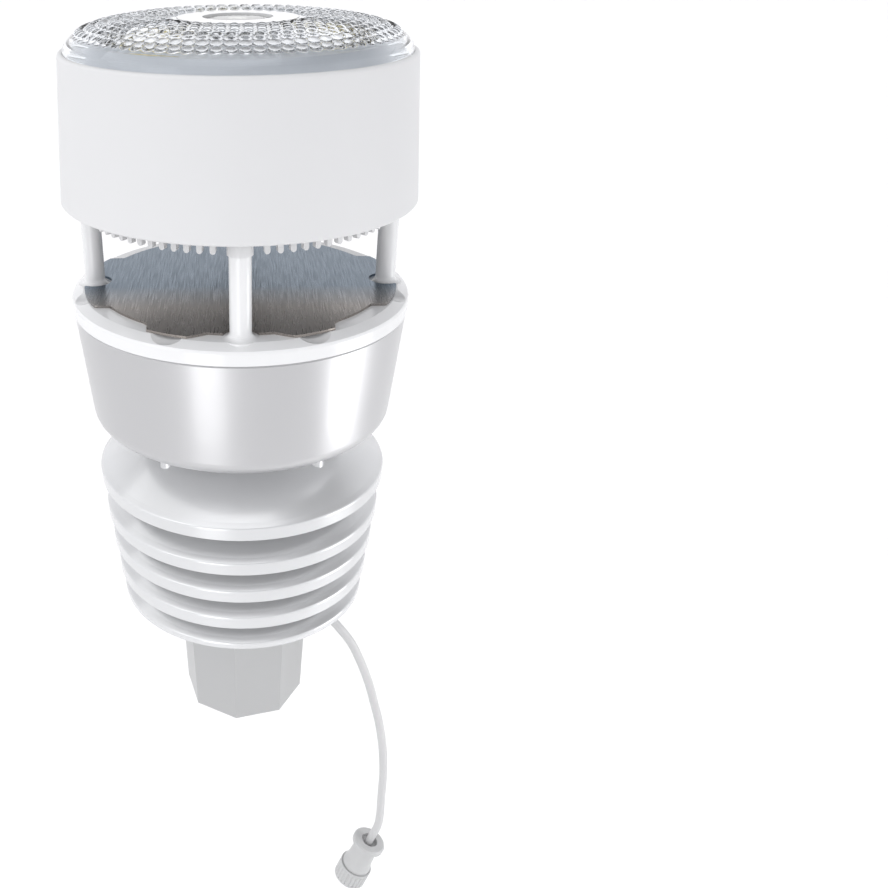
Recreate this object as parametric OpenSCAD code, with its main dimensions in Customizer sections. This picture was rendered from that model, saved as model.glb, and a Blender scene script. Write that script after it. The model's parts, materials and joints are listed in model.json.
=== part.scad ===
// All-in-one outdoor weather sensor that drops over the end of a mast.
// Millimetres. +Z is up, -Y is the front. The origin is the centre of the mast socket's mouth.

/* [Mast socket] */
// Height from the socket's mouth to the underside of the base plate
socket_h = 66; // [54:1:90]
// Corner radius of the octagon at its mouth
socket_mouth_r = 28.8; // [28:0.2:36]
// Corner radius of the octagon at its top
socket_top_r = 31.5; // [30.5:0.5:38]
// Thickness of the octagonal skin
socket_wall = 2.2; // [1.6:0.1:2.6]
// Thickness of the socket's roof
socket_roof = 4; // [3:0.5:6]
// Turn of the octagon about the vertical axis, in degrees
socket_turn = -8; // [-22:1:22]
// Diameter of the mast
mast_d = 35; // [28:0.5:36]
// Radial clearance between mast and socket
mast_gap = 0.2; // [0.1:0.05:0.4]
// Wall of the tube that holds the mast
mast_tube_wall = 2.3; // [1.6:0.1:2.4]

/* [Radiation shield] */
// Number of louvers
louver_count = 5; // [5:1:5]
// Radius of the lowest louver's edge
louver_low_r = 56.3; // [55:0.5:64]
// How much wider each louver is than the one below
louver_step_r = 1.75; // [0:0.25:2.5]
// Height from one louver's edge to the next
louver_pitch = 15.2; // [13:0.2:19]
// Extra height between the two top louvers
crown_extra = 3; // [0:0.5:6]
// Height from the top louver's edge to the cup's floor
crown_gap = 23.4; // [20:0.2:30]
// Height of the upright band at a louver's edge
louver_band_h = 5.6; // [4:0.2:7]
// Height of the band on the lowest louver
low_band_h = 2.9; // [2:0.1:3.4]
// Slope of a louver, in degrees
louver_slope = 35; // [28:1:38]
// Thickness of a louver
louver_wall = 2; // [1.5:0.1:2.5]
// Radius of the open air core inside the louvers
core_r = 38; // [36:0.5:39]
// Thickness of the base plate
base_t = 3; // [2.5:0.5:4]
// Radius of the base plate
base_r = 50.5; // [50:0.5:52]

/* [Middle cup] */
// Height of the cup
cup_h = 49.6; // [49:0.2:60]
// Outer radius of the cup at its floor
cup_floor_r = 63.4; // [63:0.2:68]
// Outer radius of the cup at its rim
cup_top_r = 68.7; // [67:0.1:76]
// Wall of the cup
cup_wall = 2.5; // [2:0.1:3]
// Radius of the corner between floor and side
cup_corner_r = 7; // [5:0.5:8]

/* [Post ring and reflector] */
// Outer radius of the post ring
ring_r = 69.2; // [69:0.1:76]
// Height of the ring's outer edge
ring_edge_h = 6.1; // [5:0.1:8]
// Height of the lands that carry the reflector plate
ring_land_h = 8; // [7.5:0.1:10]
// Thickness of the reflector plate
plate_t = 1; // [0.6:0.1:1.5]
// Radius of the reflector plate between its tongues
plate_r = 58.5; // [57:0.5:60]
// How far the plate's tongues reach past that radius
tongue_out = 5.5; // [3:0.5:6]
// Clear height between the reflector plate and the drum
wind_gap = 36; // [28:1:50]
// Radius of the circle that the posts stand on
post_circle_r = 60; // [59.5:0.25:61]
// Radius of a post
post_r = 4.1; // [3.6:0.1:4.4]

/* [Drum] */
// Height of the drum
drum_h = 54.2; // [45:0.2:70]
// Outer radius of the drum at its lower edge
drum_low_r = 70.2; // [69.6:0.1:80]
// Outer radius of the drum at its top
drum_top_r = 67; // [66:0.1:76]
// Radius of the rounded shoulder at the drum's top
shoulder_r = 1.3; // [0.5:0.1:1.4]
// Wall of the drum
drum_wall = 2.5; // [2:0.1:3]
// Number of tooth places round the drum's underside
tooth_places = 80; // [40:4:100]
// How far the teeth hang below the floor
tooth_l = 6.5; // [4:0.5:8]
// Width of a tooth
tooth_w = 2.1; // [1.4:0.1:2.4]

/* [Rain cover] */
// Height of the clear band round the cover
band_h = 5.2; // [4:0.2:6]
// Width of the clear band, seen from above
band_w = 5.5; // [5:0.5:8]
// Rise of the domed middle above the band
dome_rise = 5.4; // [4:0.1:9]
// Wall of the cover
cover_wall = 2; // [1.5:0.1:2.5]
// Outer radius of the white ring round the level
level_ring_r = 22.4; // [18:0.2:24]
// Radius of the level's window
level_r = 13; // [9:0.5:14]
// Radius of a piezo disc
piezo_r = 10.5; // [8:0.5:12]

/* [Batteries] */
// Diameter of a cell
cell_d = 14.2; // [14:0.1:14.5]
// Length of a cell with its terminal
cell_l = 50.3; // [49.5:0.1:50.5]
// Gap between the door and its frame
door_gap = 0.4; // [0.3:0.05:0.6]

/* [Reset button] */
// Radius of the button
button_r = 3.2; // [2.5:0.1:3.6]
// Gap round the button
button_gap = 0.35; // [0.3:0.05:0.5]
// Travel of the button
button_travel = 0.8; // [0.5:0.1:1]

/* [Cable and plug] */
// Radius of the cable
cable_r = 2.1; // [1.8:0.1:2.4]
// Radius of the cap at the back of the plug
plug_cap_r = 8.8; // [8:0.1:10]
// Radius of the plug's body
plug_body_r = 6.8; // [6:0.1:7]
// Outer radius of the coupling nut
nut_r = 8.7; // [8.5:0.1:10]
// Length of the coupling nut
nut_l = 10; // [8:0.5:12]
// Radial clearance of the coupling nut on the body
nut_gap = 0.06; // [0.02:0.01:0.09]

/* [Hidden] */
$fn = 96;

// Small lengths used all over
cut = 1;            // how far a cutter runs past a face
fit = 0.1;          // radial clearance of parts that are assembled and stay put
edge = 0.5;         // chamfer on moulded edges
skin_t = 1.6;       // thin moulded walls
pcb_t = 1.6;        // circuit board

// Metric screws: [shank radius, head radius, head height]
m3 = [1.5, 2.75, 2];
m4 = [2, 3.5, 2.6];
m5 = [2.5, 4.3, 4];

// Levels, from the socket's mouth up
base_z = socket_h;
base_top_z = base_z + base_t;
seat_drop = 0.5;    // a louver's edge above the face that its spacers stand on
function louver_z(i) = base_top_z + seat_drop + i * louver_pitch
    + (i == louver_count - 1 ? crown_extra : 0);
function louver_r(i) = louver_low_r + i * louver_step_r;
cup_z = louver_z(louver_count - 1) + crown_gap;
cup_top_z = cup_z + cup_h;
land_z = cup_top_z + ring_land_h;
plate_top_z = land_z + plate_t;
drum_z = plate_top_z + wind_gap;
drum_top_z = drum_z + drum_h;

// Screw columns that tie shield, cup and main board together
column_r = 3.6;
column_circle_r = core_r + 2 + column_r;   // just clear of the louvers' inner lips
column_angles = [45, 135, 225, 315];
function at(r, a) = [r * cos(a), r * sin(a), 0];

// Socket
bore_r = mast_d / 2 + mast_gap;
bore_l = socket_h - socket_roof;
mast_tube_r = bore_r + mast_tube_wall;
face_turn = socket_turn + 22.5;      // direction of a face's middle
rib_t = 1.8;
socket_screw_r = mast_tube_r + m3[1] + 0.9;
socket_screw_l = 10;
clamp_z = 14;
clamp_angle = face_turn + 90;
clamp_boss_r = 5.2;
insert_r = 3.9;

// Cup
cup_taper = atan((cup_top_r - cup_floor_r) / cup_h);
floor_boss_top = cup_z + cup_wall;
board_z = cup_top_z - 5.3;
board_r = 55;
spigot_l = 5;
spigot_r = cup_top_r - cup_wall - 1;
seal_r = 1;

// Battery compartment at the back of the cup
cell_gap = 7;                        // between the two cells, for the door's screw
tray_w = cell_l + 3.7;
tray_h = 2 * cell_d + cell_gap + 0.7;
tray_depth = cell_d + 0.8;
tray_back_y = 52.6;
tray_z = cup_z + 5.6;
tray_mid_z = tray_z + tray_h / 2;
leaf_t = 0.5;                        // contact leaf
cell_shift = (tray_w - cell_l) / 2 - leaf_t - 0.05;
door_w = tray_w + 2 * skin_t;
door_h = tray_h + 2 * skin_t;

// Post ring
ring_floor_t = 2.5;
ring_floor_z = cup_top_z + 1.7;
land_inner_r = 52;
pocket_r = 66.5;
pocket_ball_r = 13;
pocket_depth = 1.9;
tongue_mid = [25, 74];               // tongue directions, from a post, in each quadrant
tongue_half = [10, 12.5];
tongue_blend = 4;
post_angles = [0, 90, 180, 270];
foot_flare = 2.6;

// Drum
floor_recess = 0.7;
drum_floor_z = drum_z + floor_recess;
drum_floor_t = 2.5;
drum_floor_r = drum_low_r - drum_wall - 0.5;
tooth_tip_r = 61;
tooth_depth = 2.2;
tooth_ring_t = 1.5;
collar_wall = 0.6;
drum_boss_circle_r = drum_low_r - drum_wall - 3.2;
transducer_circle_r = 30;
transducer_r = 8;
sleeve_wall = 1.6;
sensor_board_z = drum_floor_z + drum_floor_t + 13;
sensor_pillar_circle_r = 47;

// Rain cover
rim_w = 1.9;
cover_r = drum_top_r - rim_w - fit;
cover_edge_h = 0.3;                  // upright edge above the drum's rim
cover_low_h = 2.5;                   // top of the steep lower band
cover_low_in = 0.7;                  // how far that band leans in
cover_spigot_w = 1.9;
ledge_drop = 2.9;
ledge_z = drum_top_z - ledge_drop;
ledge_in = 9;
gasket_t = 0.8;
dome_r = drum_top_r - band_w;
dome_power = 6;                      // how flat the middle of the dome stays
deck_t = 1.5;
deck_r = cover_r - cover_spigot_w - fit;
deck_top_z = drum_top_z + 3;
deck_top_r = dome_r - 7.5;
function dome_z(r) = drum_top_z + band_h + dome_rise * (1 - pow(r / dome_r, dome_power));
level_top_z = dome_z(0) + 0.2;
piezo_circle_r = 36;
piezo_t = 0.6;
piezo_angles = [-140, -20, 100];

// Base plate pieces
button_pos = at(39, 60);
lens_pos = at(39, 80);
lens_r = 2;
grommet_pos = [34.5, -20, 0];

// Cable route from the strain relief's tip to the plug, swept as a tube
cable_points = [
    [40, -20, 56], [46, -20, 48], [51.5, -20, 39.5], [55.5, -20, 30.5], [59, -20, 21],
    [62, -20, 11.5], [64.5, -20, 1.5], [67, -20, -8.5], [69, -20, -18.5], [70.5, -20, -28.5],
    [71.5, -20, -38.5], [72, -20, -48.5], [72, -20, -58.5], [72, -20, -68.5],
    [72, -20, -78.5], [71.2, -20, -86.3], [69, -20, -93], [66.7, -20, -99.7]
];
cable_sides = 10;
plug_tilt = 19;
plug_pos = cable_points[len(cable_points) - 1];
plug_recess_d = 2.6;
plug_recess_r = 4.4;
lead_r = 1.7;

// ---------- helpers ----------

function unit(v) = v / norm(v);

// Direction of a route at one of its points
function heading(p, i) =
    let (last = len(p) - 1)
    i == 0 ? unit(p[1] - p[0]) :
    i == last ? unit(p[last] - p[last - 1]) :
    unit(unit(p[i] - p[i - 1]) + unit(p[i + 1] - p[i]));

// Ring of points round a route's point, square to its heading
function ring_at(p, i, r, sides) =
    let (t = heading(p, i), u = unit(cross([0, 1, 0], t)), v = cross(t, u))
    [for (k = [0 : sides - 1]) p[i] + r * (cos(360 * k / sides) * u + sin(360 * k / sides) * v)];

module swept_tube(p, r, sides) {
    n = len(p);
    points = [for (i = [0 : n - 1]) each ring_at(p, i, r, sides)];
    sides_faces = [
        for (i = [0 : n - 2]) for (k = [0 : sides - 1])
            let (j = (k + 1) % sides)
            each [
                [i * sides + k, (i + 1) * sides + k, i * sides + j],
                [i * sides + j, (i + 1) * sides + k, (i + 1) * sides + j]
            ]
    ];
    start = [for (k = [0 : sides - 1]) k];
    end = [for (k = [sides - 1 : -1 : 0]) (n - 1) * sides + k];
    polyhedron(points = points, faces = concat(sides_faces, [start, end]));
}

module turned(outline) {
    rotate_extrude() polygon(outline);
}

module tube(r_out, r_in, h) {
    difference() {
        cylinder(h = h, r = r_out);
        translate([0, 0, -cut]) cylinder(h = h + 2 * cut, r = r_in);
    }
}

module round_about(radius, angles) {
    for (a = angles) rotate([0, 0, a]) translate([radius, 0, 0]) children();
}

// Screw with its head's seat at z = 0, the head above and the shank below
module screw(size, length) {
    recess_d = size[2] * 0.5;
    difference() {
        union() {
            cylinder(h = size[2], r = size[1]);
            translate([0, 0, -length]) cylinder(h = length, r = size[0]);
        }
        translate([0, 0, size[2] - recess_d]) cylinder(h = recess_d + cut, r = size[1] * 0.5, $fn = 6);
    }
}

function arc(c, r, from, to, steps) =
    [for (s = [0 : steps]) let (a = from + (to - from) * s / steps) c + r * [cos(a), sin(a)]];

module octagon(h, r_low, r_high) {
    rotate([0, 0, socket_turn]) cylinder(h = h, r1 = r_low, r2 = r_high, $fn = 8);
}

// ---------- mast socket ----------

module pole_socket() {
    inset = socket_wall / cos(22.5);
    rise = (socket_top_r - socket_mouth_r) / socket_h;
    color("gainsboro") difference() {
        union() {
            difference() {
                octagon(socket_h, socket_mouth_r, socket_top_r);
                translate([0, 0, -cut])
                    octagon(bore_l + cut, socket_mouth_r - inset - cut * rise,
                        socket_top_r - inset - socket_roof * rise);
            }
            intersection() {
                octagon(socket_h, socket_mouth_r, socket_top_r);
                union() {
                    cylinder(h = socket_h, r = mast_tube_r);
                    for (k = [0 : 7]) rotate([0, 0, socket_turn + 45 * k])
                        translate([mast_tube_r - edge, -rib_t / 2, 0])
                            cube([socket_top_r - mast_tube_r, rib_t, socket_h]);
                    clamp_line() cylinder(h = socket_top_r, r = clamp_boss_r);
                }
            }
        }
        translate([0, 0, -cut]) cylinder(h = bore_l + cut, r = bore_r);
        clamp_line() cylinder(h = socket_top_r + cut, r = m5[0] + fit);
        clamp_line() translate([0, 0, bore_r + edge]) cylinder(h = 5.2, r = insert_r);
        round_about(socket_screw_r, [for (k = [0 : 3]) face_turn + 90 * k])
            cylinder(h = socket_h + cut, r = m3[0] + fit);
    }
}

// Line of the clamp screw: from the axis out through the rear face
module clamp_line() {
    rotate([0, 0, clamp_angle]) translate([0, 0, clamp_z]) rotate([0, 90, 0]) children();
}

module clamp_insert() {
    color("darkgoldenrod") clamp_line() translate([0, 0, bore_r + edge])
        tube(insert_r, m5[0] + fit, 5.2);
}

module clamp_screw() {
    face_r = (socket_mouth_r + (socket_top_r - socket_mouth_r) * clamp_z / socket_h) * cos(22.5);
    seat_r = face_r + 0.6;
    color("silver") clamp_line() translate([0, 0, seat_r]) screw(m5, seat_r - bore_r - fit);
}

module socket_screws() {
    color("silver") round_about(socket_screw_r, [for (k = [0 : 3]) face_turn + 90 * k])
        translate([0, 0, bore_l]) mirror([0, 0, 1]) screw(m3, socket_screw_l);
}

// ---------- base plate ----------

module base_plate() {
    boss_h = socket_screw_l - socket_roof - base_t + 1;
    color("whitesmoke") difference() {
        union() {
            translate([0, 0, base_z]) cylinder(h = base_t, r = base_r);
            round_about(socket_screw_r, [for (k = [0 : 3]) face_turn + 90 * k])
                translate([0, 0, base_z]) cylinder(h = base_t + boss_h, r = m3[0] + 2);
        }
        round_about(socket_screw_r, [for (k = [0 : 3]) face_turn + 90 * k])
            translate([0, 0, base_z - cut])
                cylinder(h = cut + socket_screw_l - socket_roof, r = m3[0] + fit);
        round_about(column_circle_r, column_angles) translate([0, 0, base_z - cut]) {
            cylinder(h = base_t + 2 * cut, r = m3[0] + fit);
            cylinder(h = cut + m3[2], r = m3[1] + fit);
        }
        translate(button_pos + [0, 0, base_z - cut])
            cylinder(h = base_t + 2 * cut, r = button_r + button_gap);
        translate(lens_pos + [0, 0, base_z - cut]) cylinder(h = base_t + 2 * cut, r = lens_r);
        translate(grommet_pos + [0, 0, base_z - cut]) cylinder(h = base_t + 2 * cut, r = 4.5);
    }
}

module reset_button() {
    flange_z = base_top_z + 0.05;
    color("dimgray") translate(button_pos) {
        translate([0, 0, base_z - 1.2]) cylinder(h = flange_z - base_z + 1.2, r = button_r);
        translate([0, 0, flange_z]) cylinder(h = 1, r = button_r + 1.2);
        translate([0, 0, flange_z]) cylinder(h = 2.6, r = 1.4);
    }
}

module button_board() {
    switch_z = base_top_z + 0.05 + 2.6 + button_travel + 0.05;
    switch_h = 1.6;
    mid = (button_pos + lens_pos) / 2;
    color("darkgreen") difference() {
        union() {
            translate([mid[0], mid[1], switch_z + switch_h]) rotate([0, 0, 70])
                translate([-4.5, -11, 0]) cube([6.2, 22, 1.2]);
            translate(button_pos + [-3, -3, switch_z]) cube([6, 6, switch_h]);
        }
        translate(lens_pos + [0, 0, switch_z - cut]) cylinder(h = 6, r = lens_r - 0.8);
    }
}

module status_lens() {
    color("lightcyan") translate(lens_pos + [0, 0, base_z - 0.3]) {
        cylinder(h = base_t + 0.3, r = lens_r);
        translate([0, 0, base_t + 0.3]) cylinder(h = 3, r = lens_r + 0.6);
    }
}

// ---------- louvers ----------

// Cross-section of one louver: an upright band and a cone that climbs to the air core
function louver_outline(r, band) =
    let (
        rise = tan(louver_slope),
        drop = louver_wall / cos(louver_slope),
        inner_z = (r - core_r) * rise,
        nose = 1.2
    )
    concat(
        [[core_r, inner_z - drop], [core_r, inner_z + 1], [core_r + 1.2, inner_z + 1]],
        [[core_r + 2.2, inner_z - 2.2 * rise]],
        [[r - 2 * nose, 2 * nose * rise - 0.2]],
        arc([r - nose, -0.7], nose, 62, 0, 4),
        [[r - 0.2, -band], [r - 0.2 - louver_wall, -band]],
        [[r - louver_wall - 0.4, louver_wall * rise - drop - 0.2]]
    );

module louver(i) {
    low = i == 0;
    top = i == louver_count - 1;
    seat = louver_z(i) - seat_drop;
    next_seat = top ? cup_z : louver_z(i + 1) - seat_drop;
    color("white") difference() {
        union() {
            translate([0, 0, louver_z(i)])
                turned(louver_outline(louver_r(i), low ? low_band_h : louver_band_h));
            round_about(column_circle_r, column_angles)
                translate([0, 0, seat]) cylinder(h = next_seat - seat, r = column_r);
        }
        round_about(column_circle_r, column_angles)
            translate([0, 0, seat - cut]) cylinder(h = next_seat - seat + 2 * cut, r = m3[0] + fit);
    }
}

module louver_1() { louver(4); }
module louver_2() { louver(3); }
module louver_3() { louver(2); }
module louver_4() { louver(1); }
module louver_5() { louver(0); }

module shield_screws() {
    head_z = base_z + m3[2];
    color("silver") round_about(column_circle_r, column_angles)
        translate([0, 0, head_z]) mirror([0, 0, 1]) screw(m3, floor_boss_top + 5 - head_z);
}

// ---------- sensor in the air core ----------

module probe_board() {
    color("darkgreen") translate([-5, -0.6, cup_z - 38]) cube([10, 1.2, 38]);
    color("dimgray") translate([-2, -1.8, cup_z - 36]) cube([4, 1.2, 4]);
}

module probe_cap() {
    cap_l = 46;
    color("white") translate([0, 0, cup_z - cap_l]) difference() {
        union() {
            cylinder(h = cap_l, r = 8);
            translate([0, 0, cap_l - 2]) cylinder(h = 2, r = 11);
        }
        translate([0, 0, 1.2]) cylinder(h = cap_l, r = 6.8);
        for (a = [0, 45, 90, 135]) rotate([0, 0, a])
            translate([-10, -1, 4]) cube([20, 2, cap_l - 14]);
    }
}

// ---------- cup ----------

// Side and floor of the cup, drawn in from its outer surface by `inset`
function cup_outline(inset) =
    let (
        corner = cup_corner_r - inset,
        r0 = cup_floor_r - inset / cos(cup_taper) + inset * tan(cup_taper),
        cx = r0 + corner * (1 - sin(cup_taper)) * tan(cup_taper) - corner * cos(cup_taper),
        top_r = cup_top_r - inset / cos(cup_taper)
    )
    concat(
        [[0, inset]],
        arc([cx, inset + corner], corner, -90, -cup_taper, 8),
        inset == 0 ? [[top_r - edge * 0.1, cup_h - edge], [top_r - edge, cup_h]]
            : [[top_r, cup_h], [top_r + cut * tan(cup_taper), cup_h + cut]],
        [[0, inset == 0 ? cup_h : cup_h + cut]]
    );

module cup_solid(inset) {
    translate([0, 0, cup_z]) turned(cup_outline(inset));
}

module cup() {
    throat_w = door_w + 2 * skin_t;
    throat_h = door_h + 1.8;
    color("ghostwhite") difference() {
        union() {
            difference() {
                cup_solid(0);
                cup_solid(cup_wall);
            }
            intersection() {
                cup_solid(0);
                union() {
                    round_about(column_circle_r, column_angles)
                        translate([0, 0, cup_z]) cylinder(h = board_z - cup_z, r = column_r);
                    translate([-throat_w / 2, tray_back_y, tray_mid_z - throat_h / 2])
                        cube([throat_w, 30, throat_h]);
                }
            }
        }
        translate([-door_w / 2, tray_back_y - cut, tray_mid_z - door_h / 2])
            cube([door_w, 40, door_h]);
        round_about(column_circle_r, column_angles) {
            translate([0, 0, cup_z - cut])
                cylinder(h = cup_wall + 5 + 2 * cut, r = m3[0] + fit);
            translate([0, 0, board_z - 8]) cylinder(h = 8 + cut, r = m3[0] + fit);
        }
        translate([26, -14, cup_z - cut]) cylinder(h = cup_wall + 2 * cut, r = lead_r + 0.6);
        translate([-6, -2, cup_z - cut]) cube([12, 4, cup_wall + 2 * cut]);
    }
}

module ring_seal() {
    color("black") translate([0, 0, cup_top_z - spigot_l / 2]) rotate_extrude()
        translate([spigot_r - 0.6, 0]) circle(r = seal_r, $fn = 24);
}

module main_board() {
    color("darkgreen") difference() {
        translate([0, 0, board_z]) cylinder(h = pcb_t, r = board_r);
        round_about(column_circle_r, column_angles)
            translate([0, 0, board_z - cut]) cylinder(h = pcb_t + 2 * cut, r = m3[0] + fit);
    }
    color("black") translate([8, -26, board_z + pcb_t]) cube([14, 14, 1.2]);
    color("dimgray") translate([30, -8, board_z + pcb_t]) cube([6, 16, 3]);
    color("dimgray") translate([-12, 22, board_z + pcb_t]) cube([24, 6, 3]);
}

module board_screws() {
    color("silver") round_about(column_circle_r, column_angles)
        translate([0, 0, board_z + pcb_t]) screw(m3, 8);
}

module radio_can() {
    color("silver") translate([-34, -10, board_z + pcb_t]) cube([18, 14, 2.6]);
}

module antenna() {
    color("darkgoldenrod") translate([-47, -4, board_z - 36]) cylinder(h = 36, r = 0.8, $fn = 16);
}

// ---------- battery compartment ----------

module battery_tray() {
    color("dimgray") difference() {
        translate([-door_w / 2, tray_back_y - tray_depth - skin_t, tray_z - skin_t])
            cube([door_w, tray_depth + skin_t, door_h]);
        difference() {
            translate([-tray_w / 2, tray_back_y - tray_depth, tray_z])
                cube([tray_w, tray_depth + cut, tray_h]);
            translate([0, tray_back_y, tray_mid_z]) rotate([90, 0, 0])
                cylinder(h = tray_depth + cut, r = 3);
        }
        translate([0, tray_back_y + cut, tray_mid_z]) rotate([90, 0, 0])
            cylinder(h = 12, r = m3[0] + 0.35);
    }
}

module cell(side) {
    y = tray_back_y - tray_depth / 2 - 0.2;
    z = tray_mid_z + side * (cell_gap + cell_d) / 2;
    nub_l = 1.2;
    translate([side * (cell_l / 2 + cell_shift), y, z]) rotate([0, -side * 90, 0]) {
        cylinder(h = nub_l, r = 2.7);
        translate([0, 0, nub_l]) cylinder(h = cell_l - nub_l, r = cell_d / 2);
    }
}

module battery_1() { color("darkorange") cell(1); }
module battery_2() { color("darkorange") cell(-1); }

module battery_contacts() {
    spring_l = 2 * cell_shift;
    y = tray_back_y - tray_depth / 2 - 0.2;
    color("silver") for (side = [-1, 1]) for (end = [-1, 1])
        translate([end * (tray_w / 2 - leaf_t / 2), y, tray_mid_z + side * (cell_gap + cell_d) / 2]) {
            cube([leaf_t, 10, 11], center = true);
            if (end != side) rotate([0, -end * 90, 0])
                translate([0, 0, leaf_t / 2]) tube(3.4, 2.6, spring_l);
        }
}

module battery_door() {
    w = door_w - 2 * door_gap;
    h = door_h - 2 * door_gap;
    plug_y = tray_back_y + 1.5;
    boss_r = 3.6;
    color("ghostwhite") difference() {
        intersection() {
            cup_solid(0);
            translate([-w / 2, plug_y, tray_mid_z - h / 2]) cube([w, 30, h]);
        }
        difference() {
            intersection() {
                cup_solid(cup_wall);
                translate([-w / 2 + skin_t, plug_y - cut, tray_mid_z - h / 2 + skin_t])
                    cube([w - 2 * skin_t, 30, h - 2 * skin_t]);
            }
            translate([0, plug_y + 30, tray_mid_z]) rotate([90, 0, 0]) cylinder(h = 30, r = boss_r);
        }
        translate([0, plug_y + 30, tray_mid_z]) rotate([90, 0, 0])
            cylinder(h = 31, r = m3[0] + fit);
        translate([0, door_screw_y(), tray_mid_z]) rotate([-90, 0, 0])
            cylinder(h = 10, r = m3[1] + fit);
    }
}

// Where the door screw's head seats, just under the door's outer face
function door_screw_y() = cup_floor_r + (tray_mid_z - cup_z) * tan(cup_taper) - m3[2] - 0.4;

module door_screw() {
    color("silver") translate([0, door_screw_y(), tray_mid_z]) rotate([-90, 0, 0])
        screw(m3, door_screw_y() - tray_back_y + 9);
}

module door_gasket() {
    w = door_w - 2 * door_gap;
    h = door_h - 2 * door_gap;
    color("black") translate([0, tray_back_y + 0.75, tray_mid_z]) difference() {
        cube([w, 1.4, h], center = true);
        cube([w - 2.2, 3, h - 2.2], center = true);
    }
}

// ---------- post ring, reflector plate ----------

// Plate edge: a circle with two wide tongues in each quadrant, mirrored about the posts
function smooth(x) = let (t = min(1, max(0, x))) t * t * (3 - 2 * t);
function fold(a) = let (b = a % 180) b > 90 ? 180 - b : b;
function tongue(a, k) =
    smooth((tongue_half[k] + tongue_blend / 2 - abs(fold(a) - tongue_mid[k])) / tongue_blend);
function plate_edge_r(a) = plate_r + tongue_out * max(tongue(a, 0), tongue(a, 1));

module post(z_top) {
    foot_z = land_z - cup_top_z;
    translate([0, 0, cup_top_z]) turned(concat(
        [[0, 0], [post_r + foot_flare, 0], [post_r + foot_flare, foot_z]],
        arc([post_r + foot_flare, foot_z + foot_flare], foot_flare, 270, 180, 6),
        [[post_r, z_top - cup_top_z], [0, z_top - cup_top_z]]
    ));
}

module post_ring() {
    z0 = cup_top_z;
    slope_r = ring_r - 4.5;
    color("white") difference() {
        union() {
            turned([
                [0, ring_floor_z], [spigot_r - 2.3, ring_floor_z], [spigot_r - 2.3, z0 - spigot_l],
                [spigot_r, z0 - spigot_l], [spigot_r, z0], [cup_top_r - edge, z0],
                [ring_r, z0 + edge], [ring_r, z0 + ring_edge_h - 1],
                [ring_r - 0.4, z0 + ring_edge_h], [slope_r, land_z], [land_inner_r, land_z],
                [land_inner_r, ring_floor_z + ring_floor_t], [0, ring_floor_z + ring_floor_t]
            ]);
            intersection() {
                round_about(post_circle_r, post_angles) post(drum_floor_z);
                translate([0, 0, z0 - spigot_l]) cylinder(h = 200, r = ring_r - edge);
            }
        }
        translate([0, 0, z0 - spigot_l / 2]) rotate_extrude()
            translate([spigot_r - 0.6, 0]) circle(r = seal_r, $fn = 24);
        for (q = [0 : 3]) for (k = [0, 1])
            round_about(pocket_r, [90 * floor(q / 2) * 2 + (q % 2 == 0 ? 1 : -1) * tongue_mid[k] + 90])
                translate([0, 0, land_z + pocket_ball_r - pocket_depth]) sphere(r = pocket_ball_r);
        round_about(post_circle_r, post_angles)
            translate([0, 0, drum_floor_z - 14]) cylinder(h = 14 + cut, r = m4[0] + fit);
    }
}

module reflector_plate() {
    outline = [for (a = [0 : 3 : 357]) plate_edge_r(a) * [sin(a), -cos(a)]];
    color("lightslategray") translate([0, 0, land_z]) difference() {
        linear_extrude(height = plate_t) polygon(outline);
        round_about(post_circle_r, post_angles)
            translate([0, 0, -cut]) cylinder(h = plate_t + 2 * cut, r = post_r + foot_flare + fit);
    }
}

module post_screws() {
    color("silver") round_about(post_circle_r, post_angles)
        translate([0, 0, drum_floor_z + drum_floor_t]) screw(m4, 14);
}

// ---------- drum ----------

module drum() {
    ledge_r = drum_top_r - ledge_in;
    inner_top_r = drum_top_r - drum_wall;
    inner_low_r = drum_low_r - drum_wall;
    color("whitesmoke") {
        turned(concat(
            [[drum_low_r - edge, drum_z], [drum_low_r, drum_z + edge]],
            arc([drum_top_r - shoulder_r, drum_top_z - shoulder_r], shoulder_r, 0, 90, 5),
            [[drum_top_r - rim_w, drum_top_z], [drum_top_r - rim_w, ledge_z], [ledge_r, ledge_z],
            [ledge_r, ledge_z - drum_wall], [inner_top_r, ledge_z - drum_wall - 2],
            [inner_low_r, drum_z]]
        ));
        round_about(drum_boss_circle_r, column_angles)
            translate([0, 0, drum_floor_z + drum_floor_t]) difference() {
                cylinder(h = 14, r = 3.7);
                translate([0, 0, -cut]) cylinder(h = 10, r = m3[0] + fit);
            }
    }
}

module drum_floor() {
    color("dimgray") difference() {
        union() {
            translate([0, 0, drum_floor_z]) cylinder(h = drum_floor_t, r = drum_floor_r);
            round_about(sensor_pillar_circle_r, column_angles)
                translate([0, 0, drum_floor_z]) cylinder(h = sensor_board_z - drum_floor_z, r = 3);
        }
        round_about(transducer_circle_r, column_angles) translate([0, 0, drum_floor_z - cut])
            cylinder(h = drum_floor_t + 2 * cut, r = transducer_r + sleeve_wall);
        round_about(post_circle_r, post_angles) translate([0, 0, drum_floor_z - cut])
            cylinder(h = drum_floor_t + 2 * cut, r = m4[0] + fit);
        round_about(drum_boss_circle_r, column_angles) translate([0, 0, drum_floor_z - cut]) {
            cylinder(h = drum_floor_t + 2 * cut, r = m3[0] + fit);
            cylinder(h = cut + 1.3, r = m3[1] + fit);
        }
    }
}

module floor_screws() {
    color("silver") round_about(drum_boss_circle_r, column_angles)
        translate([0, 0, drum_floor_z + 1.3]) mirror([0, 0, 1]) screw([m3[0], m3[1], 1.3], 9);
}

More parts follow.
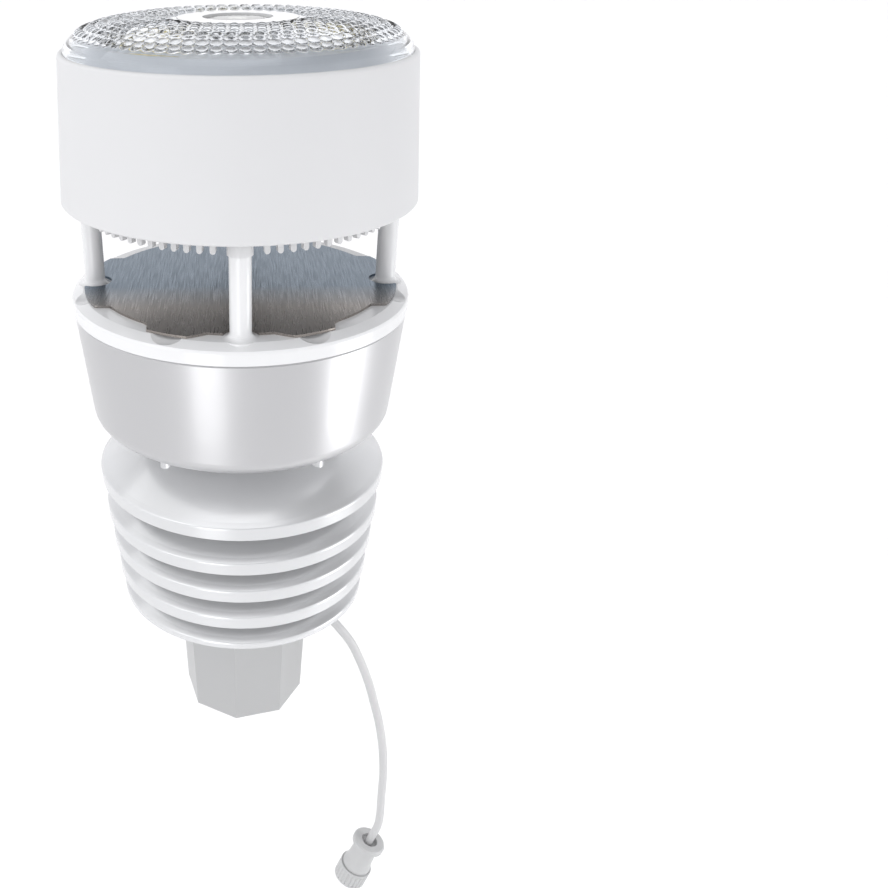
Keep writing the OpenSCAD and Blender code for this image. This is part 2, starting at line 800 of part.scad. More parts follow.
module tooth() {
    tip_r = tooth_w / 2;
    rotate([90, 0, 90]) translate([0, 0, -tooth_depth]) linear_extrude(height = tooth_depth) {
        translate([-tip_r, tip_r - tooth_l]) square([tooth_w, tooth_l - tip_r]);
        translate([0, tip_r - tooth_l]) circle(r = tip_r, $fn = 24);
    }
}

module tooth_ring() {
    pitch = 360 / tooth_places;
    clear_angle = 6.5;                // no tooth this close to a post
    collar_r = post_r + collar_wall;
    color("gainsboro") difference() {
        union() {
            translate([0, 0, drum_floor_z - tooth_ring_t]) tube(tooth_tip_r + 1.5, tooth_tip_r - 4, tooth_ring_t);
            for (k = [0 : tooth_places - 1]) let (a = k * pitch, off = abs(fold(a) - 45))
                if (45 - off > clear_angle)
                    rotate([0, 0, a]) translate([tooth_tip_r, 0, drum_floor_z]) tooth();
            round_about(post_circle_r, post_angles)
                translate([0, 0, drum_floor_z - tooth_l]) cylinder(h = tooth_l, r = collar_r);
        }
        round_about(post_circle_r, post_angles)
            translate([0, 0, drum_floor_z - tooth_l - cut]) cylinder(h = tooth_l + 2 * cut, r = post_r);
    }
}

module transducer(k) {
    color("dimgray") rotate([0, 0, column_angles[k]])
        translate([transducer_circle_r, 0, drum_floor_z - 4]) {
            difference() {
                cylinder(h = 12, r = transducer_r);
                translate([0, 0, -cut]) cylinder(h = cut + 0.8, r = transducer_r - 1.2);
            }
            translate([-2.5, 0, 12]) cylinder(h = sensor_board_z - drum_floor_z - 8, r = 0.6, $fn = 16);
            translate([2.5, 0, 12]) cylinder(h = sensor_board_z - drum_floor_z - 8, r = 0.6, $fn = 16);
        }
}

module transducer_1() { transducer(0); }
module transducer_2() { transducer(1); }
module transducer_3() { transducer(2); }
module transducer_4() { transducer(3); }

module transducer_sleeves() {
    color("black") round_about(transducer_circle_r, column_angles)
        translate([0, 0, drum_floor_z - 0.8]) tube(transducer_r + sleeve_wall, transducer_r, 6);
}

module sensor_board() {
    color("darkgreen") translate([0, 0, sensor_board_z]) cylinder(h = pcb_t, r = 54);
    color("black") translate([-8, -8, sensor_board_z + pcb_t]) cube([16, 16, 1.4]);
    color("dimgray") translate([14, 20, sensor_board_z + pcb_t]) cube([18, 6, 5]);
}

// ---------- rain cover and level ----------

function dome_points(r_from, r_to, steps, drop) =
    [for (s = [0 : steps]) let (r = r_from + (r_to - r_from) * s / steps) [r, dome_z(r) - drop]];

module clear_cover() {
    z0 = drum_top_z;
    spigot_in = cover_r - cover_spigot_w;
    color("lightblue", 0.6) turned(concat(
        [[cover_r, ledge_z + gasket_t], [cover_r, z0 + cover_edge_h]],
        [[cover_r - cover_low_in, z0 + cover_low_h]],
        dome_points(dome_r, level_ring_r + fit, 14, 0),
        dome_points(level_ring_r + fit, dome_r - 1, 14, cover_wall),
        [[spigot_in, z0 + cover_edge_h - 1], [spigot_in, ledge_z + gasket_t]]
    ));
}

module cover_gasket() {
    color("black") translate([0, 0, ledge_z]) tube(cover_r, cover_r - cover_spigot_w, gasket_t);
}

module rain_deck() {
    color("whitesmoke") turned([
        [0, deck_top_z - deck_t], [deck_top_r - 0.5, deck_top_z - deck_t], [deck_top_r + 4, ledge_z],
        [deck_r, ledge_z], [deck_r, ledge_z + deck_t], [deck_top_r + 4.5, ledge_z + deck_t],
        [deck_top_r, deck_top_z], [0, deck_top_z]
    ]);
}

module piezo_discs() {
    color("goldenrod") round_about(piezo_circle_r, piezo_angles)
        translate([0, 0, deck_top_z]) {
            cylinder(h = piezo_t, r = piezo_r);
            translate([0, 0, piezo_t]) cylinder(h = 0.3, r = piezo_r * 0.7);
        }
}

module level_ring() {
    color("white") translate([0, 0, deck_top_z]) difference() {
        cylinder(h = level_top_z - deck_top_z, r = level_ring_r);
        translate([0, 0, -cut]) cylinder(h = 20, r = level_r + fit);
    }
}

module level_cup() {
    color("white") translate([0, 0, deck_top_z]) difference() {
        cylinder(h = level_top_z - deck_top_z - 2.2, r = level_r);
        translate([0, 0, 1.2]) cylinder(h = 20, r = level_r - 1.2);
    }
}

module level_liquid() {
    liquid_h = level_top_z - deck_top_z - 2.2 - 1.2;
    bubble_r = 7;
    color("darkkhaki", 0.7) translate([0, 0, deck_top_z + 1.2]) difference() {
        cylinder(h = liquid_h, r = level_r - 1.2);
        translate([0, 0, liquid_h + bubble_r - 1]) sphere(r = bubble_r);
    }
}

module level_window() {
    color("lightcyan", 0.5) translate([0, 0, level_top_z - 2.2]) turned([
        [0, 0], [level_r, 0], [level_r, 1.3], [level_r * 0.7, 1.7], [0, 1.8]
    ]);
}

// ---------- cable and plug ----------

module cable_grommet() {
    along = heading(cable_points, 0);
    lean = atan2(along[0], -along[2]);
    relief_l = 10;
    color("gainsboro") {
        translate(grommet_pos + [0, 0, base_z]) cylinder(h = base_t, r = 4.5);
        difference() {
            union() {
                translate(grommet_pos + [0, 0, base_z - 2.5]) cylinder(h = 2.5, r = 6.5);
                translate(cable_points[0]) rotate([0, -lean, 0])
                    cylinder(h = relief_l, r1 = cable_r + 0.9, r2 = 4.6);
            }
            translate(grommet_pos + [0, 0, base_z]) cylinder(h = 20, r = 20);
        }
    }
}

module inner_lead() {
    color("gainsboro") swept_tube([
        grommet_pos + [0, 0, base_top_z], grommet_pos + [0, 0, base_top_z + 3], [31.5, -18, base_top_z + 8],
        [27.5, -15, base_top_z + 14], [26, -14, base_top_z + 22], [26, -14, cup_z - 40],
        [26, -14, cup_z + cup_wall + 4]
    ], lead_r, 8);
}

module cable() {
    color("gainsboro") swept_tube(cable_points, cable_r, cable_sides);
}

// Plug frame: z = 0 where the cable enters, the plug below
module plug_place() {
    translate(plug_pos) rotate([0, plug_tilt, 0]) children();
}

module plug_cap() {
    neck_r = plug_body_r - 1.4;
    color("whitesmoke") plug_place() difference() {
        union() {
            turned([
                [0, -1], [plug_cap_r - 0.8, -1], [plug_cap_r, -0.2], [plug_cap_r, plug_recess_d - 0.8],
                [plug_cap_r - 0.8, plug_recess_d], [0, plug_recess_d]
            ]);
            translate([0, 0, -5]) cylinder(h = 5, r = neck_r);
        }
        cylinder(h = plug_recess_d + cut, r = plug_recess_r);
    }
}

module plug_body() {
    neck_r = plug_body_r - 1.4;
    bearing_r = plug_body_r - 0.8;
    color("lightgray") plug_place() difference() {
        turned([
            [0, -24], [bearing_r, -24], [bearing_r, -17], [plug_body_r + 1, -17],
            [plug_body_r + 1, -15.5], [plug_body_r, -12], [plug_body_r - 0.4, -1.6],
            [plug_body_r - 1, -1], [0, -1]
        ]);
        translate([0, 0, -5]) cylinder(h = 5, r = neck_r);
        translate([0, 0, -25]) cylinder(h = 8, r = bearing_r - 1.2);
    }
}

module plug_insert() {
    color("dimgray") plug_place() translate([0, 0, -28])
        cylinder(h = 11, r = plug_body_r - 0.8 - 1.2);
}

module plug_pins() {
    color("darkgoldenrod") plug_place() round_about(2.2, [0, 180])
        translate([0, 0, -30.5]) cylinder(h = 2.5, r = 0.7, $fn = 24);
}

module plug_seal() {
    color("black") plug_place() translate([0, 0, -26.2])
        tube(plug_body_r - 0.9, plug_body_r - 0.8 - 1.2, 1.4);
}

module coupling_nut() {
    bearing_r = plug_body_r - 0.8;
    knurls = 24;
    nut_top = -17.35;
    color("lightgray") plug_place() translate([0, 0, nut_top - nut_l]) difference() {
        cylinder(h = nut_l, r = nut_r);
        translate([0, 0, nut_l - 2.6]) cylinder(h = 2.6 + cut, r = bearing_r + nut_gap);
        translate([0, 0, -cut]) cylinder(h = nut_l - 2.6 + cut, r = nut_r - 1.4);
        for (k = [0 : knurls - 1]) rotate([0, 0, 360 * k / knurls])
            translate([nut_r + 0.25, 0, 1.2]) cylinder(h = nut_l - 2.4, r = 0.6, $fn = 16);
    }
}

clear_cover();
cover_gasket();
level_ring();
level_cup();
level_liquid();
level_window();
rain_deck();
piezo_discs();
drum();
sensor_board();
transducer_1();
transducer_2();
transducer_3();
transducer_4();
transducer_sleeves();
drum_floor();
tooth_ring();
floor_screws();
post_ring();
post_screws();
reflector_plate();
ring_seal();
cup();
main_board();
board_screws();
radio_can();
antenna();
battery_tray();
battery_1();
battery_2();
battery_contacts();
battery_door();
door_gasket();
door_screw();
louver_1();
louver_2();
louver_3();
louver_4();
louver_5();
shield_screws();
base_plate();
probe_board();
probe_cap();
reset_button();
button_board();
status_lens();
pole_socket();
socket_screws();
clamp_screw();
clamp_insert();
inner_lead();
cable_grommet();
cable();
plug_cap();
plug_body();
plug_insert();
plug_pins();
plug_seal();
coupling_nut();
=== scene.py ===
"""Looks of a mast-top weather sensor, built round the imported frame. Lengths are in metres."""
import json
import math

import bmesh
import bpy
from mathutils import Matrix, Vector


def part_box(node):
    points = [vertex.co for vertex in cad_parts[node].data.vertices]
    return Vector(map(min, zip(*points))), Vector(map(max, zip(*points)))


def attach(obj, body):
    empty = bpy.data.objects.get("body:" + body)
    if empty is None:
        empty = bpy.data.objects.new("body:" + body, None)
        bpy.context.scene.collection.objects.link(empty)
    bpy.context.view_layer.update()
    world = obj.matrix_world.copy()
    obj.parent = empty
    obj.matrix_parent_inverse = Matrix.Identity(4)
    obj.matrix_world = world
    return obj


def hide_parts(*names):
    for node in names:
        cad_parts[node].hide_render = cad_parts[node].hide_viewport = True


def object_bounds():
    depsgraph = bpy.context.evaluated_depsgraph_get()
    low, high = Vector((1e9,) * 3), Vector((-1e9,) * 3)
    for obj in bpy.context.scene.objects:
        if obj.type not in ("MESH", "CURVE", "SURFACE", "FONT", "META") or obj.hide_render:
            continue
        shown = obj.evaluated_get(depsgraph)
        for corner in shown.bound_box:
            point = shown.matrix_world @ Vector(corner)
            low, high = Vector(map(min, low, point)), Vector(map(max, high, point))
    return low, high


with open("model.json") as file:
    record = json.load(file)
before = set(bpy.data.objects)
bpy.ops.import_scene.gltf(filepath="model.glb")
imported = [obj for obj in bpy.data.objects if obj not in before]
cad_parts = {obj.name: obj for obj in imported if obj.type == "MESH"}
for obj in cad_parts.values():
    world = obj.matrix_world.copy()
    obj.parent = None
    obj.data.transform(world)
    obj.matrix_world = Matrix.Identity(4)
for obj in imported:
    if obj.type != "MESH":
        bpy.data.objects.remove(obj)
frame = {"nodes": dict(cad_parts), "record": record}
cad_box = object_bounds()
MM = 0.001
STATION = "station"


# ---------- camera ----------

CAMERA_PLACE = (0, -0.4028, 0.3569)
CAMERA_PITCH = math.radians(28.56)       # how far it looks down
CAMERA_ROLL = math.radians(-0.53)
FILM_WIDTH_MM = 36
FOCAL_LENGTH_MM = 41.25
SIDE_SHIFT = 0.2277                      # of the picture's width


def make_camera():
    """Looks down the front of the sensor, tilted a little, with the sensor left of the middle."""
    pitch, roll = CAMERA_PITCH, CAMERA_ROLL
    forward = Vector((0, math.cos(pitch), -math.sin(pitch)))
    up = Vector((0, math.sin(pitch), math.cos(pitch)))
    side = Vector((1, 0, 0))
    right = math.cos(roll) * side + math.sin(roll) * up
    top = -math.sin(roll) * side + math.cos(roll) * up
    camera = bpy.data.objects.new("camera", bpy.data.cameras.new("camera"))
    axes = Matrix((right, top, -forward)).transposed().to_4x4()
    camera.matrix_world = Matrix.Translation(CAMERA_PLACE) @ axes
    camera.data.sensor_width = FILM_WIDTH_MM
    camera.data.lens = FOCAL_LENGTH_MM
    camera.data.shift_x = SIDE_SHIFT
    bpy.context.scene.collection.objects.link(camera)
    bpy.context.scene.camera = camera


# ---------- cable ----------

CABLE_RADIUS = 2.1 * MM
CABLE_STEPS = 6                          # steps from one point of the route to the next
CABLE_ROUNDNESS = 8
CABLE_ROUTE_MM = [
    (40, -20, 56), (46, -20, 48), (51.5, -20, 39.5), (55.5, -20, 30.5), (59, -20, 21),
    (62, -20, 11.5), (64.5, -20, 1.5), (67, -20, -8.5), (69, -20, -18.5), (70.5, -20, -28.5),
    (71.5, -20, -38.5), (72, -20, -48.5), (72, -20, -58.5), (72, -20, -68.5),
    (72, -20, -78.5), (71.2, -20, -86.3), (69, -20, -93), (66.7, -20, -99.7),
]


def make_cable(material):
    """The lead that hangs from the strain relief to its plug, as one round tube."""
    route = [Vector(point) * MM for point in CABLE_ROUTE_MM]
    curve = bpy.data.curves.new("lead", "CURVE")
    curve.dimensions = "3D"
    curve.resolution_u = CABLE_STEPS
    curve.bevel_depth = CABLE_RADIUS
    curve.bevel_resolution = CABLE_ROUNDNESS
    spline = curve.splines.new("BEZIER")
    spline.bezier_points.add(len(route) - 1)
    for knot, point in zip(spline.bezier_points, route):
        knot.co = point
        knot.handle_left_type = knot.handle_right_type = "AUTO"
    curve.use_fill_caps = True
    source = bpy.data.objects.new("lead_line", curve)
    bpy.context.scene.collection.objects.link(source)
    shown = source.evaluated_get(bpy.context.evaluated_depsgraph_get())
    mesh = bpy.data.meshes.new_from_object(shown)
    bpy.data.objects.remove(source)
    mesh.materials.clear()
    mesh.materials.append(material)
    set_smooth(mesh)
    lead = link(bpy.data.objects.new("lead", mesh))
    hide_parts("cable")


# ---------- helpers ----------

def link(piece):
    """Puts a piece in the scene and lets it ride with the sensor."""
    bpy.context.scene.collection.objects.link(piece)
    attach(piece, STATION)
    return piece


def set_smooth(mesh):
    mesh.polygons.foreach_set("use_smooth", [True] * len(mesh.polygons))


class Shader:
    """A Principled material and the few node chains that the sensor's materials share."""

    def __init__(self, name, colour, roughness, **sockets):
        self.material = bpy.data.materials.new(name)
        self.material.use_nodes = True
        self.nodes = self.material.node_tree.nodes
        self.links = self.material.node_tree.links
        self.bsdf = self.nodes["Principled BSDF"]
        self.bsdf.inputs["Base Color"].default_value = (*colour, 1)
        self.bsdf.inputs["Roughness"].default_value = roughness
        for socket, value in sockets.items():
            self.bsdf.inputs[socket.replace("_", " ")].default_value = value
        self.place = self.nodes.new("ShaderNodeTexCoord").outputs["Object"]

    def stretched(self, scale):
        mapping = self.nodes.new("ShaderNodeMapping")
        mapping.inputs["Scale"].default_value = scale
        self.links.new(self.place, mapping.inputs["Vector"])
        return mapping.outputs["Vector"]

    def noise(self, scale, detail=3, stretch=(1, 1, 1)):
        texture = self.nodes.new("ShaderNodeTexNoise")
        texture.inputs["Scale"].default_value = scale
        texture.inputs["Detail"].default_value = detail
        self.links.new(self.stretched(stretch), texture.inputs["Vector"])
        return texture.outputs["Fac"]

    def spread(self, value, low, high):
        """Maps a noise value to low..high."""
        node = self.nodes.new("ShaderNodeMapRange")
        node.inputs["From Min"].default_value = 0.3
        node.inputs["From Max"].default_value = 0.7
        node.inputs["To Min"].default_value = low
        node.inputs["To Max"].default_value = high
        self.links.new(value, node.inputs["Value"])
        return node.outputs["Result"]

    def vary_roughness(self, value, low, high):
        self.links.new(self.spread(value, low, high), self.bsdf.inputs["Roughness"])

    def vary_colour(self, value, dark, light):
        ramp = self.nodes.new("ShaderNodeValToRGB")
        for stop, place, colour in zip(ramp.color_ramp.elements, (0.35, 0.65), (dark, light)):
            stop.position = place
            stop.color = (*colour, 1)
        self.links.new(value, ramp.inputs["Fac"])
        self.links.new(ramp.outputs["Color"], self.bsdf.inputs["Base Color"])

    def bump(self, value, strength, distance):
        node = self.nodes.new("ShaderNodeBump")
        node.inputs["Strength"].default_value = strength
        node.inputs["Distance"].default_value = distance
        self.links.new(value, node.inputs["Height"])
        self.links.new(node.outputs["Normal"], self.bsdf.inputs["Normal"])


# ---------- materials, one per slot of the record ----------

def satin_moulding(name, colour, roughness, grain=900, depth=0.00004, **sockets):
    """Moulded plastic: fine spark-eroded grain, with slow changes in sheen."""
    shader = Shader(name, colour, roughness, **sockets)
    shader.vary_roughness(shader.noise(14), roughness - 0.04, roughness + 0.05)
    shader.bump(shader.noise(grain, detail=2), 0.35, depth)
    return shader.material


def gloss_moulding(name, colour, roughness, **sockets):
    """Polished plastic: no grain, only a faint handling haze."""
    shader = Shader(name, colour, roughness, **sockets)
    shader.vary_roughness(shader.noise(22), roughness - 0.02, roughness + 0.03)
    return shader.material


def clear_moulding(name, colour, roughness, transmission=0.9, ior=1.49):
    shader = Shader(
        name, colour, roughness, Transmission_Weight=transmission, IOR=ior,
    )
    shader.vary_roughness(shader.noise(60), roughness, roughness + 0.05)
    return shader.material


PAINTED_REFLECTION_FRONT_Y, PAINTED_REFLECTION_BACK_Y = -60 * MM, 20 * MM     # where the painted reflection in the steel's colour turns from warm grey at the front to dark cool blue-grey at the back


def brushed_steel(name):
    """Sheet steel brushed front to back, with a painted reflection in its colour: warm grey at
    the front, darker and cooler blue-grey towards the back of the sensor, in place of the drum's
    dark underside that the plate mirrors.
    """
    shader = Shader(name, (0.3, 0.32, 0.35), 0.3, Metallic=1.0)
    scratches = shader.noise(2600, detail=4, stretch=(1, 0.03, 1))
    parts = shader.nodes.new("ShaderNodeSeparateXYZ")
    shader.links.new(shader.place, parts.inputs["Vector"])
    # painted reflection: the base colour runs with Y from warm grey at the front to dark cool
    # blue-grey at the back, standing in for the dark drum underside mirrored in the plate
    painted_reflection = shader.nodes.new("ShaderNodeMapRange")
    painted_reflection.inputs["From Min"].default_value = PAINTED_REFLECTION_FRONT_Y
    painted_reflection.inputs["From Max"].default_value = PAINTED_REFLECTION_BACK_Y
    shader.links.new(parts.outputs["Y"], painted_reflection.inputs["Value"])
    shader.vary_colour(painted_reflection.outputs["Result"], (0.3, 0.275, 0.255), (0.13, 0.17, 0.215))
    shader.vary_roughness(scratches, 0.2, 0.42)
    shader.bump(scratches, 0.3, 0.000012)
    return shader.material


def metal(name, colour, roughness, lay=(1, 1, 1)):
    shader = Shader(name, colour, roughness, Metallic=1.0)
    marks = shader.noise(500, detail=3, stretch=lay)
    shader.vary_roughness(marks, roughness - 0.06, roughness + 0.1)
    shader.bump(marks, 0.2, 0.00002)
    return shader.material


def rubber(name, colour):
    shader = Shader(name, colour, 0.75, Specular_IOR_Level=0.3)
    shader.vary_roughness(shader.noise(120), 0.65, 0.85)
    shader.bump(shader.noise(1400, detail=2), 0.3, 0.00004)
    return shader.material


def circuit_board(name):
    """Green solder mask over faint copper tracks."""
    shader = Shader(name, (0.03, 0.2, 0.09), 0.35, Coat_Weight=0.4)
    tracks = shader.noise(260, detail=0, stretch=(1, 0.12, 1))
    shader.vary_colour(tracks, (0.02, 0.15, 0.07), (0.05, 0.27, 0.12))
    shader.bump(tracks, 0.3, 0.00003)
    return shader.material


def louver_plastic(name):
    """White plastic with a little pearl in it, so that it mirrors the strips softly."""
    return gloss_moulding(name, (0.62, 0.625, 0.635), 0.22, Metallic=0.4, Coat_Weight=0.3)


def piezo_ceramic(name):
    """Pale silvered ceramic on a brass disc, mottled."""
    shader = Shader(name, (0.85, 0.66, 0.2), 0.4, Metallic=0.3)
    shader.vary_colour(shader.noise(180), (0.85, 0.62, 0.1), (1.0, 0.84, 0.22))
    shader.bump(shader.noise(700), 0.2, 0.00003)
    return shader.material


def make_materials():
    return {
        "drum_plastic": satin_moulding("drum_plastic", (0.62, 0.622, 0.63), 0.42),
        "white_gloss": gloss_moulding("white_gloss", (0.72, 0.724, 0.732), 0.2, Coat_Weight=0.3),
        "pearl_gloss": gloss_moulding(
            "pearl_gloss", (0.49, 0.49, 0.5), 0.32, Metallic=0.65, Coat_Weight=0.25,
        ),
        "socket_plastic": satin_moulding("socket_plastic", (0.38, 0.383, 0.386), 0.36),
        "clear_plastic": clear_moulding("clear_plastic", (0.93, 0.95, 0.97), 0.01, 1.0, 1.38),
        "level_glass": clear_moulding("level_glass", (0.9, 0.93, 0.86), 0.02, ior=1.5),
        "level_liquid": clear_moulding("level_liquid", (0.6, 0.62, 0.42), 0.02, 0.7, 1.36),
        "steel_brushed": brushed_steel("steel_brushed"),
        "dark_plastic": satin_moulding("dark_plastic", (0.05, 0.052, 0.058), 0.5),
        "rubber_black": rubber("rubber_black", (0.02, 0.02, 0.02)),
        "circuit_board": circuit_board("circuit_board"),
        "brass": metal("brass", (0.8, 0.62, 0.22), 0.3),
        "screw_steel": metal("screw_steel", (0.62, 0.63, 0.65), 0.28, (1, 1, 0.1)),
        "transducer_metal": metal("transducer_metal", (0.5, 0.51, 0.53), 0.4),
        "cell_wrap": gloss_moulding("cell_wrap", (0.68, 0.3, 0.06), 0.25),
        "lens_plastic": clear_moulding("lens_plastic", (0.85, 0.93, 0.98), 0.06),
        "cable_jacket": satin_moulding("cable_jacket", (0.5, 0.5, 0.505), 0.36, grain=600),
        "plug_plastic": satin_moulding("plug_plastic", (0.45, 0.453, 0.456), 0.36, grain=500),
    }


def dress_nodes(materials):
    """Gives every CAD node the material of its slot, and a few nodes a finer one of their own."""
    for part in frame["record"]["subparts"]:
        node = frame["nodes"][part["node"]]
        for slot in node.material_slots:
            slot.material = materials[part["material_slot"]]
    own_looks = {
        "piezo_discs": piezo_ceramic("piezo_ceramic"),
        "rain_deck": satin_moulding("deck_plastic", (0.6, 0.62, 0.65), 0.35),
    }
    louvers = louver_plastic("louver_plastic")
    own_looks.update({name: louvers for name in frame["nodes"] if name.startswith("louver_")})
    for name, material in own_looks.items():
        for slot in frame["nodes"][name].material_slots:
            slot.material = material


# ---------- bumped rain cover ----------

COVER_SEGMENTS = 600
GRID_STEP = 0.55 * MM
DOME_RADIUS = 61.5 * MM
BAND_HEIGHT = 5.2 * MM
DOME_RISE = 5.4 * MM
DOME_POWER = 6
COVER_WALL = 2 * MM
SPIGOT_WALL = 1.9 * MM
LOWER_BAND = (0.7 * MM, 2.5 * MM)     # how far it leans in, and its top
COVER_LIP = 0.3 * MM
SPIGOT_STEP = 1 * MM                  # from the lip down to where the spigot starts inside
CORNER_CUT = 0.4 * MM
BROW_STEP = 1 * MM
LEVEL_GAP = 0.1 * MM                  # round the level's ring
UNDERSIDE_STEPS = 12
SHARP_EDGE = math.radians(50)

BUMP_ROWS = 8
OUTER_ROW_RADIUS = 58.4 * MM
ROW_PITCH = 4.4 * MM
BUMP_PITCH = 4.7 * MM
BUMP_RADIUS = 2 * MM
BUMP_HEIGHT = 1.1 * MM


def dome_height(radius):
    """Height of the smooth dome above the drum's rim."""
    return BAND_HEIGHT + DOME_RISE * (1 - (radius / DOME_RADIUS) ** DOME_POWER)


def bump_height(radius, angle):
    """Height of the nearest bump: they stand in rings round the level."""
    row = min(BUMP_ROWS - 1, max(0, round((OUTER_ROW_RADIUS - radius) / ROW_PITCH)))
    row_radius = OUTER_ROW_RADIUS - row * ROW_PITCH
    count = round(math.tau * row_radius / BUMP_PITCH)
    place = angle / math.tau * count + (row % 2) / 2
    along = (place - round(place)) * math.tau / count * row_radius
    nearness = 1 - (along ** 2 + (radius - row_radius) ** 2) / BUMP_RADIUS ** 2
    return BUMP_HEIGHT * math.sqrt(max(0, nearness))


def rounded(before, corner, after, steps=4):
    """A small round on one corner of an outline, as points of a quadratic curve."""
    before, corner, after = Vector(before), Vector(corner), Vector(after)
    start = corner + (before - corner).normalized() * CORNER_CUT
    end = corner + (after - corner).normalized() * CORNER_CUT
    shares = [step / steps for step in range(steps + 1)]
    return [start * (1 - t) ** 2 + 2 * corner * t * (1 - t) + end * t ** 2 for t in shares]


def make_cover(materials):
    """The clear cover as one closed ring: bands, bumped dome, underside and spigot."""
    low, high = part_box("clear_cover")
    rim_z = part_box("drum")[1].z
    outer, inner = high.x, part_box("level_ring")[1].x + LEVEL_GAP
    foot = low.z - rim_z
    lip, shoulder = (outer, COVER_LIP), (outer - LOWER_BAND[0], LOWER_BAND[1])
    brow = (DOME_RADIUS, dome_height(DOME_RADIUS))
    brow_in = DOME_RADIUS - BROW_STEP
    brow_next = (brow_in, dome_height(brow_in))
    bands = [Vector((outer, foot))]
    bands += rounded((outer, foot), lip, shoulder)
    bands += rounded(lip, shoulder, brow)
    bands += rounded(shoulder, brow, brow_next)
    top_start = bands[-1].x
    top_rows = round((top_start - inner) / GRID_STEP)
    top = [top_start + (inner - top_start) * row / top_rows for row in range(1, top_rows + 1)]
    under = [
        inner + (brow_in - inner) * row / UNDERSIDE_STEPS for row in range(UNDERSIDE_STEPS + 1)
    ]
    spigot = outer - SPIGOT_WALL
    outline = [(point.x, point.y, False) for point in bands]
    outline += [(radius, dome_height(radius), True) for radius in top]
    outline += [(radius, dome_height(radius) - COVER_WALL, False) for radius in under]
    outline += [(spigot, COVER_LIP - SPIGOT_STEP, False), (spigot, foot, False)]

    shape = bmesh.new()
    rings = []
    for radius, height, bumped in outline:
        ring = []
        for segment in range(COVER_SEGMENTS):
            angle = math.tau * segment / COVER_SEGMENTS
            x, y = radius * math.cos(angle), radius * math.sin(angle)
            z = rim_z + height + (bump_height(radius, angle) if bumped else 0)
            ring.append(shape.verts.new((x, y, z)))
        rings.append(ring)
    for ring, following in zip(rings, rings[1:] + rings[:1]):
        for here in range(COVER_SEGMENTS):
            after = (here + 1) % COVER_SEGMENTS
            shape.faces.new((ring[here], ring[after], following[after], following[here]))
    bmesh.ops.recalc_face_normals(shape, faces=shape.faces)
    mesh = bpy.data.meshes.new("bumped_cover")
    shape.to_mesh(mesh)
    shape.free()
    set_smooth(mesh)
    mesh.set_sharp_from_angle(angle=SHARP_EDGE)
    mesh.materials.append(materials["clear_plastic"])
    cover = link(bpy.data.objects.new("bumped_cover", mesh))
    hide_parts("clear_cover")


# ---------- floor and light ----------

FLOOR_REACH = 12
FLOOR_DROP = 40 * MM


def make_floor():
    """A plain pale floor a little way under the hanging plug."""
    shader = Shader("floor", (0.93, 0.93, 0.93), 0.6)
    shader.vary_roughness(shader.noise(3), 0.55, 0.7)
    reach = FLOOR_REACH
    height = cad_box[0].z - FLOOR_DROP
    mesh = bpy.data.meshes.new("floor")
    corners = [(-reach, -reach), (reach, -reach), (reach, reach), (-reach, reach)]
    mesh.from_pydata([(x, y, height) for x, y in corners], [], [(0, 1, 2, 3)])
    mesh.materials.append(shader.material)
    floor = bpy.data.objects.new("floor", mesh)
    bpy.context.scene.collection.objects.link(floor)


def make_softbox(name, place, aim, size, power):
    """A soft rectangular light that the camera doesn't see."""
    lamp = bpy.data.lights.new(name, "AREA")
    lamp.shape = "RECTANGLE"
    lamp.size, lamp.size_y = size
    lamp.energy = power
    light = bpy.data.objects.new(name, lamp)
    light.location = place
    light.rotation_euler = (Vector(aim) - Vector(place)).to_track_quat("-Z", "Y").to_euler()
    light.visible_camera = False
    bpy.context.scene.collection.objects.link(light)


SKY_BANDS = [                    # sine of the elevation, with -1 to 1 as 0 to 1, and brightness
    (0.5, 1), (0.68, 0.95), (0.78, 0.7), (0.85, 0.25), (0.94, 0.25), (0.98, 0.9),
]
SKY_BLUE = 1.02                  # how much stronger its blue is than its red
SKY_STRENGTH = 1.25


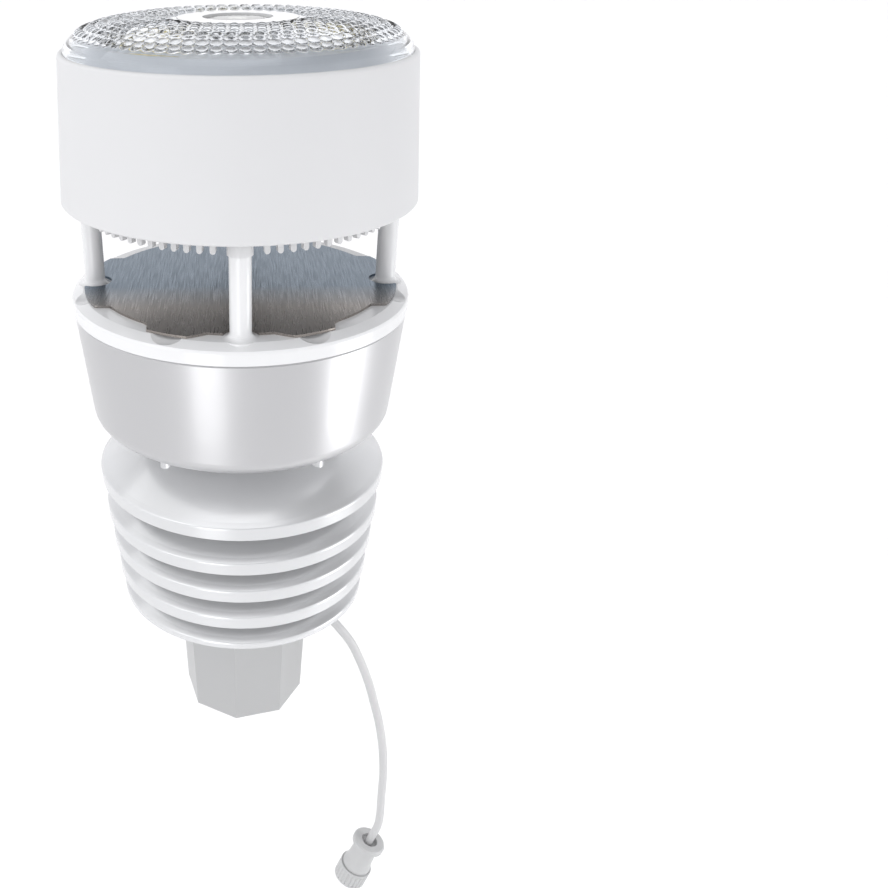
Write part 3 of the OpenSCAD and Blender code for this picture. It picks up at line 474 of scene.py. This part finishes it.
def make_sky():
    """A bright horizon with a dim band high up, for the clear and glossy parts to mirror."""
    world = bpy.data.worlds.new("studio")
    world.use_nodes = True
    nodes, links = world.node_tree.nodes, world.node_tree.links
    parts = nodes.new("ShaderNodeSeparateXYZ")
    links.new(nodes.new("ShaderNodeTexCoord").outputs["Generated"], parts.inputs["Vector"])
    height = nodes.new("ShaderNodeMapRange")
    height.inputs["From Min"].default_value = -1
    links.new(parts.outputs["Z"], height.inputs["Value"])
    ramp = nodes.new("ShaderNodeValToRGB")
    stops = ramp.color_ramp.elements
    while len(stops) < len(SKY_BANDS):
        stops.new(0.5)
    for stop, (place, brightness) in zip(stops, SKY_BANDS):
        stop.position = place
        stop.color = (brightness, brightness, brightness * SKY_BLUE, 1)
    links.new(height.outputs["Result"], ramp.inputs["Fac"])
    links.new(ramp.outputs["Color"], nodes["Background"].inputs["Color"])
    nodes["Background"].inputs["Strength"].default_value = SKY_STRENGTH
    bpy.context.scene.world = world


def make_light():
    """Sky, a wide overhead lamp, two softboxes above and three low ones that the sides mirror."""
    make_sky()
    bpy.context.scene.view_settings.view_transform = "Standard"
    overhead = bpy.data.lights.new("overhead", "SUN")
    overhead.energy = 1.3
    overhead.angle = math.radians(80)
    lamp = bpy.data.objects.new("overhead", overhead)
    lamp.rotation_euler = Vector((0.45, 0.12, -1)).to_track_quat("-Z", "Y").to_euler()
    bpy.context.scene.collection.objects.link(lamp)
    make_softbox("key", (-0.9, -0.7, 0.8), (0, 0, 0.2), (0.5, 0.7), 0.9)
    make_softbox("rim", (0.9, -0.3, 0.5), (0, 0, 0.2), (0.3, 0.8), 0.25)
    # the strips show in the cup and louvers as vertical bands
    make_softbox("strip_left", (-0.16, -0.4, 0.02), (0, 0, 0.16), (0.16, 0.26), 0.3)
    make_softbox("strip_right", (0.42, -0.16, 0.02), (0, 0, 0.16), (0.07, 0.26), 0.07)
    make_softbox("low_right", (0.4, -0.1, 0.0), (0, 0, 0.03), (0.2, 0.2), 0.42)


make_camera()
looks = make_materials()
make_cable(looks["cable_jacket"])
dress_nodes(looks)
make_cover(looks)
make_floor()
make_light()
